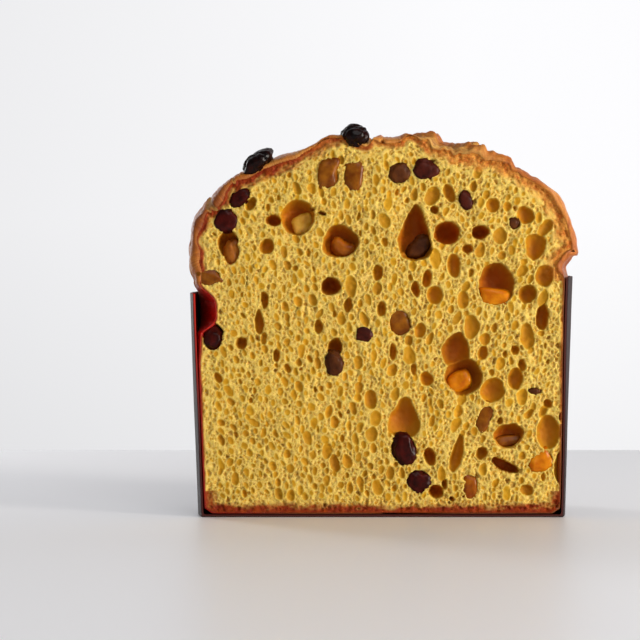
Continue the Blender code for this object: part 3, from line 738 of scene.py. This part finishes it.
def add_crumb(name, part):
    """One part of the crumb's face as its own piece."""
    keep = inside & part
    quads = keep[:-1, :-1] & keep[1:, :-1] & keep[1:, 1:] & keep[:-1, 1:]
    used = np.zeros(keep.shape, bool)
    for i, k in ((0, 0), (1, 0), (1, 1), (0, 1)):
        used[i:used.shape[0] - 1 + i, k:used.shape[1] - 1 + k] |= quads
    number[used] = np.arange(used.sum())
    points = np.stack([flat_x[used], CUT + depth[used], flat_z[used]], axis=-1)
    i, k = np.nonzero(quads)
    faces = np.stack([number[i, k], number[i + 1, k], number[i + 1, k + 1], number[i, k + 1]], axis=-1)
    piece = add_piece(name, points, faces)
    # The crumb's material paints shade by this depth
    add_attribute(piece, "depth", depth[used] / 10.0)
    # The crumb's material paints a highlight on these rims
    add_attribute(piece, "rim", (1.0 - soft(rim_width - 0.05, rim_width + 0.22, to_rim))[used])
    add_attribute(piece, "toast", toast[used])
    add_attribute(piece, "bake", (1.0 - soft(-60.0, 45.0, flat_x) * soft(8.0, 20.0, flat_z))[used])
    add_attribute(piece, "shade", (cell_shade + drawn)[used])
    add_attribute(piece, "web", (mouth[used] <= 0.0).astype(float))
    return piece


crumbs = [add_crumb("crumb_left", flat_x < 0.1), add_crumb("crumb_right", flat_x > -0.4)]

# Baked egg dough: matt straw-yellow membranes that let a little light through, painted more golden
# deep in the cells as shade and paler on the rims as a highlight, and toasted next to the crust.
# It has a 1 mm grain, toasted flecks of 3 mm, and paler and darker clouds of 11 mm.
egg_dough, shader = new_material("baked egg dough crumb")
depth_value, rim_highlight_value, shade_value, toast_value, bake_value, web_value = (
    add_node(egg_dough, "ShaderNodeAttribute", {"attribute_name": name}).outputs["Fac"]
    for name in ("depth", "rim", "shade", "toast", "bake", "web")
)
place = add_node(egg_dough, "ShaderNodeTexCoord").outputs["Object"]
grain = add_node(egg_dough, "ShaderNodeTexNoise", {"Scale": 900.0, "Detail": 3.0, "Roughness": 0.6},
                 Vector=place)
cloud = add_node(egg_dough, "ShaderNodeTexNoise", {"Scale": 90.0, "Detail": 4.0}, Vector=place)
# Painted shade: the crumb turns a darker gold the deeper the cell
golds_with_depth_shade = ((0.03, "#CE9C1E"), (0.10, "#C48E14"), (0.25, "#BA7E0E"), (0.55, "#B26A0C"), (1.0, "#B0580E"))
depth_shade_ramp = add_node(egg_dough, "ShaderNodeValToRGB", {"stops": golds_with_depth_shade}, Fac=depth_value)
streaks_of_light = add_node(egg_dough, "ShaderNodeMath", {"operation": "MULTIPLY_ADD", 1: 1.1, 2: -0.55},
                            i0=cloud.outputs["Fac"])
shade_sum = add_node(egg_dough, "ShaderNodeMath", {"operation": "ADD"},
                     i0=shade_value, i1=streaks_of_light.outputs[0])
cell_tint = add_node(egg_dough, "ShaderNodeMapRange", {"To Min": 0.84, "To Max": 1.16},
                     Value=shade_sum.outputs[0])
tinted = add_node(egg_dough, "ShaderNodeVectorMath", {"operation": "SCALE"},
                  i0=depth_shade_ramp.outputs["Color"], Scale=cell_tint.outputs[0])
# Painted highlight: paler on the thin rims of the cells
with_rim_highlight = add_node(egg_dough, "ShaderNodeMix", {"data_type": "RGBA", 7: linear("#E4C35C")},
                  i0=rim_highlight_value, i6=tinted.outputs[0])
flecks = add_node(egg_dough, "ShaderNodeTexNoise", {"Scale": 330.0, "Detail": 5.0, "Roughness": 0.7},
                  Vector=place)
toast_ramp = add_node(egg_dough, "ShaderNodeValToRGB", {"stops": ((0.38, "#B05A14"), (0.62, "#DE9A42"))},
                      Fac=flecks.outputs["Fac"])
browned = {"data_type": "RGBA", "blend_type": "MULTIPLY", 7: linear("#B06634")}
browner = add_node(egg_dough, "ShaderNodeMix", browned, i0=bake_value, i6=toast_ramp.outputs["Color"])
# The finest web, too fine to model: cells of about a millimetre with paler edges, a painted highlight on
# their thin walls
ripple = add_node(egg_dough, "ShaderNodeTexNoise", {"Scale": 420.0, "Detail": 2.0}, Vector=place)
shaken = add_node(egg_dough, "ShaderNodeMix", {"data_type": "VECTOR", 0: 0.0022},
                  i4=place, i5=ripple.outputs["Color"])
finest = add_node(egg_dough, "ShaderNodeTexVoronoi", {"feature": "DISTANCE_TO_EDGE", "Scale": 820.0},
                  Vector=shaken.outputs[1])
finest_edge = add_node(egg_dough, "ShaderNodeMapRange", {"From Max": 0.22, "To Min": 0.42, "To Max": 0.0},
                       Value=finest.outputs["Distance"])
finest_share = add_node(egg_dough, "ShaderNodeMath", {"operation": "MULTIPLY"},
                        i0=finest_edge.outputs[0], i1=web_value)
with_web_highlight = add_node(egg_dough, "ShaderNodeMix", {"data_type": "RGBA", 7: linear("#EAD07C")},
                  i0=finest_share.outputs[0], i6=with_rim_highlight.outputs[2])
toasted = add_node(egg_dough, "ShaderNodeMix", {"data_type": "RGBA"},
                   i0=toast_value, i6=with_web_highlight.outputs[2], i7=browner.outputs[2])
web_bump = add_node(egg_dough, "ShaderNodeBump", {"Strength": 0.45, "Distance": 0.0006},
                    Height=finest_share.outputs[0])
crumb_bump = add_node(egg_dough, "ShaderNodeBump", {"Strength": 0.4, "Distance": 0.0004},
                      Height=grain.outputs["Fac"], Normal=web_bump.outputs[0])
links = egg_dough.node_tree.links
links.new(toasted.outputs[2], shader.inputs["Base Color"])
links.new(crumb_bump.outputs[0], shader.inputs["Normal"])
set_inputs(shader, {"Roughness": 0.6, "Specular IOR Level": 0.15, "Subsurface Weight": 0.2,
                    "Subsurface Radius": (1.0, 0.55, 0.12), "Subsurface Scale": 0.0018})
for piece in crumbs:
    piece.data.materials.append(egg_dough)
    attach(piece, "root")
    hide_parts("loaf")

# ---------------------------------------------------------------------------------------------
# The paper mould. Two plies of dark brown kraft paper over a fine flute, rolled into a ring and
# glued to a round floor; it was cut with the loaf, and its cut edge curls in on the right.

FLUTE_PITCH = 3.2
FLUTE_DEPTH = 0.10
PAPER_COLUMNS = 760
SEAM = (1.62, 1.90)  # the glued lap at the back, as angles round the wall
SEAM_STEP = 0.45
RIM_ROW = 1000.0  # stands for the rim, whose height changes round the wall
INSIDE_ROWS = 11  # the section's points on the floor's top and the wall's inside


def paper_section():
    """Radius, height and side of the mould's section, from inside the floor over the rim."""
    heights = [2.0, 12.0, 30.0, 50.0, 70.0, 85.0, 95.0, RIM_ROW]
    inside = [(wall_radius(min(h, RIM_MEAN)) - FLOOR_THICK, h, -1) for h in heights]
    outside = [(wall_radius(min(h, RIM_MEAN)), h, 1) for h in reversed(heights)]
    floor_edge = wall_radius(0.0) - FLOOR_THICK
    start = [(0.0, FLOOR_THICK, 0), (40.0, FLOOR_THICK, 0), (floor_edge - 0.5, FLOOR_THICK, 0)]
    finish = [(BASE_RADIUS, 0.4, 1), (BASE_RADIUS - 0.4, 0.0, 0), (40.0, 0.0, 0), (0.0, 0.0, 0)]
    return start + inside + outside + finish


phi = np.linspace(0.0, math.pi, PAPER_COLUMNS)
paper_rows = []
for radius, height, side in paper_section():
    full = -CUT * np.sin(phi) + np.sqrt(BASE_RADIUS**2 - (CUT * np.cos(phi)) ** 2)
    if radius < BASE_RADIUS - 5.0:
        reach = full * radius / BASE_RADIUS
        angle = np.zeros(phi.shape)
    else:
        reach = -CUT * np.sin(phi) + np.sqrt(radius**2 - (CUT * np.cos(phi)) ** 2)
        angle = np.arctan2(CUT + reach * np.sin(phi), reach * np.cos(phi))
    level = np.full(phi.shape, height)
    if height == RIM_ROW:
        level = rim_height(angle) + 0.12 * np.sin(phi * 90.0)
        reach = reach + wall_radius(level) - wall_radius(RIM_MEAN)
    if side:
        reach = reach + cut_pinch(angle, level)
        lap = soft(SEAM[0], SEAM[0] + 0.006, angle) * (1.0 - soft(SEAM[1], SEAM[1] + 0.006, angle))
        reach = reach + SEAM_STEP * lap * (side > 0)
        reach = reach + FLUTE_DEPTH * side * np.sin(2.0 * math.pi * angle * BASE_RADIUS / FLUTE_PITCH)
        crumple = lumps(angle * 30.0, level / 3.0, 0.0 * level, 8.0, 31)
        reach = reach + 0.25 * crumple * soft(0.0, 40.0, level)
    paper_rows.append(np.stack([reach * np.cos(phi), CUT + reach * np.sin(phi), level], axis=-1))
paper_points = np.asarray(paper_rows)
rows, columns = paper_points.shape[:2]
cut_edge = np.arange(0, rows * columns, columns)
paper_faces = list(grid_faces(rows, columns)) + [cut_edge, cut_edge[::-1] + columns - 1]
paper = add_piece("paper_mould", paper_points.reshape(-1, 3), paper_faces)
inside_wall = np.repeat(np.arange(rows) < INSIDE_ROWS, columns)
add_attribute(paper, "inner", inside_wall.astype(float))
paper_x, paper_y, paper_z = (paper_points[..., side].ravel() for side in range(3))
gap_share = soft(60.0, 75.0, -paper_x) * soft(60.0, 84.0, paper_z) * (1.0 - soft(5.0, 40.0, paper_y - CUT))
add_attribute(paper, "gap", inside_wall * gap_share)
body = bmesh.new()
body.from_mesh(paper.data)
bmesh.ops.remove_doubles(body, verts=body.verts, dist=0.00001)
bmesh.ops.recalc_face_normals(body, faces=body.faces[:])
body.to_mesh(paper.data)
body.free()
paper.data.set_sharp_from_angle(angle=math.radians(40.0))

# Calendered kraft: a dull sheen over fibres drawn 3 mm long, coarser than real ones so that
# they show; painted redder inside and red at the gap, a glow of light from behind coming through the wall
kraft, shader = new_material("dark brown kraft paper, calendered")
inner_value, paper_gap = (
    add_node(kraft, "ShaderNodeAttribute", {"attribute_name": name}).outputs["Fac"]
    for name in ("inner", "gap")
)
place = add_node(kraft, "ShaderNodeTexCoord").outputs["Object"]
fibres = add_node(kraft, "ShaderNodeTexNoise", {"Scale": 300.0, "Detail": 4.0, "Roughness": 0.7},
                  Vector=place)
kraft_ramp = add_node(kraft, "ShaderNodeValToRGB", {"stops": ((0.3, "#1E0C0A"), (0.75, "#321A16"))},
                      Fac=fibres.outputs["Fac"])
# Painted glow: the inside is redder, as light from behind comes through the paper
inner_red_glow = add_node(kraft, "ShaderNodeMix", {"data_type": "RGBA", 7: linear("#50140C")},
                 i0=inner_value, i6=kraft_ramp.outputs["Color"])
glowing = add_node(kraft, "ShaderNodeMix", {"data_type": "RGBA", 7: linear("#E0240E")},
                   i0=paper_gap, i6=inner_red_glow.outputs[2])
paper_bump = add_node(kraft, "ShaderNodeBump", {"Strength": 0.25, "Distance": 0.0003},
                      Height=fibres.outputs["Fac"])
links = kraft.node_tree.links
links.new(glowing.outputs[2], shader.inputs["Base Color"])
links.new(paper_bump.outputs[0], shader.inputs["Normal"])
set_inputs(shader, {"Roughness": 0.55, "Specular IOR Level": 0.3})
paper.data.materials.append(kraft)
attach(paper, "root")
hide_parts("paper_case")

# ---------------------------------------------------------------------------------------------
# The table, the lights and the camera. A pale satin table top ends behind the loaf against a
# white ground. A warm soft light stands on the right, a narrow one behind on the left, and a
# wide one fills from the front.

table_mesh = bpy.data.meshes.new("table")
table_body = bmesh.new()
bmesh.ops.create_grid(table_body, x_segments=1, y_segments=1, size=1.0)
table_body.to_mesh(table_mesh)
table_body.free()
table = bpy.data.objects.new("table", table_mesh)
bpy.context.scene.collection.objects.link(table)
TABLE_BACK = 0.444
TABLE_FRONT = -3.0
table.scale = (3.0, (TABLE_BACK - TABLE_FRONT) / 2.0, 1.0)
table.location = (0.0, (TABLE_BACK + TABLE_FRONT) / 2.0, 0.0)

# Sprayed lacquer: near-white, with a soft blurred reflection of what stands on it
lacquer, shader = new_material("pale satin lacquer")
set_inputs(shader, {"Base Color": linear("#F2F2F5"), "Roughness": 0.42})
table_mesh.materials.append(lacquer)


def add_light(name, place, aim, width, height, power, colour="#FFFFFF"):
    """A soft rectangular light aimed at a point."""
    lamp = bpy.data.lights.new(name, "AREA")
    lamp.shape = "RECTANGLE"
    lamp.size = width
    lamp.size_y = height
    lamp.energy = power
    lamp.color = linear(colour)[:3]
    light = bpy.data.objects.new(name, lamp)
    light.location = place
    light.rotation_euler = (Vector(aim) - Vector(place)).to_track_quat("-Z", "Y").to_euler()
    bpy.context.scene.collection.objects.link(light)


add_light("key", (1.10, -0.70, 0.24), (0.0, 0.0, 0.09), 0.4, 0.5, 15.5, "#FFF7EC")
add_light("back_left", (-0.75, 0.75, 0.40), (0.0, 0.0, 0.14), 0.25, 0.6, 4.0)
add_light("fill", (0.45, -1.5, 1.2), (0.05, -0.2, 0.0), 1.0, 1.0, 8.5)

# The ground far behind: a white sheet that glows, with painted light brighter to the right and upwards
GROUND_BACK = 2.2
ground_mesh = bpy.data.meshes.new("ground")
ground_corners = [(x, GROUND_BACK, z) for x, z in ((-5.0, -1.0), (5.0, -1.0), (5.0, 4.0), (-5.0, 4.0))]
ground_mesh.from_pydata(ground_corners, [], [(0, 1, 2, 3)])
ground = bpy.data.objects.new("ground", ground_mesh)
bpy.context.scene.collection.objects.link(ground)
lit_cloth, shader = new_material("lit white cloth")
place = add_node(lit_cloth, "ShaderNodeTexCoord").outputs["Object"]
parts = add_node(lit_cloth, "ShaderNodeSeparateXYZ", Vector=place)
across = {"From Min": -0.9, "From Max": 0.2, "To Min": 0.80, "To Max": 0.97}
fade = add_node(lit_cloth, "ShaderNodeMapRange", across, Value=parts.outputs["X"])
upward = {"From Min": -0.15, "From Max": 0.25, "To Min": 0.90, "To Max": 1.0}
rise = add_node(lit_cloth, "ShaderNodeMapRange", upward, Value=parts.outputs["Z"])
both = add_node(lit_cloth, "ShaderNodeMath", {"operation": "MULTIPLY"},
                i0=fade.outputs[0], i1=rise.outputs[0])
lit_cloth.node_tree.links.new(both.outputs[0], shader.inputs["Emission Strength"])
set_inputs(shader, {"Emission Color": linear("#FDFDFF"), "Base Color": (0.0, 0.0, 0.0, 1.0)})
ground_mesh.materials.append(lit_cloth)

world = bpy.data.worlds.new("studio")
bpy.context.scene.world = world
world.use_nodes = True
sky = world.node_tree.nodes["Background"]
sky.inputs["Color"].default_value = linear("#F4F4F7")
sky.inputs["Strength"].default_value = 0.2

camera_data = bpy.data.cameras.new("camera")
camera_data.sensor_width = 36.0
camera_data.lens = 110.9
camera = bpy.data.objects.new("camera", camera_data)
camera.location = (-0.0285, CUT * MM - 0.900, 0.090)
camera.rotation_euler = (math.pi / 2.0, 0.0, 0.0)
bpy.context.scene.collection.objects.link(camera)
bpy.context.scene.camera = camera
bpy.context.scene.view_settings.view_transform = "Standard"
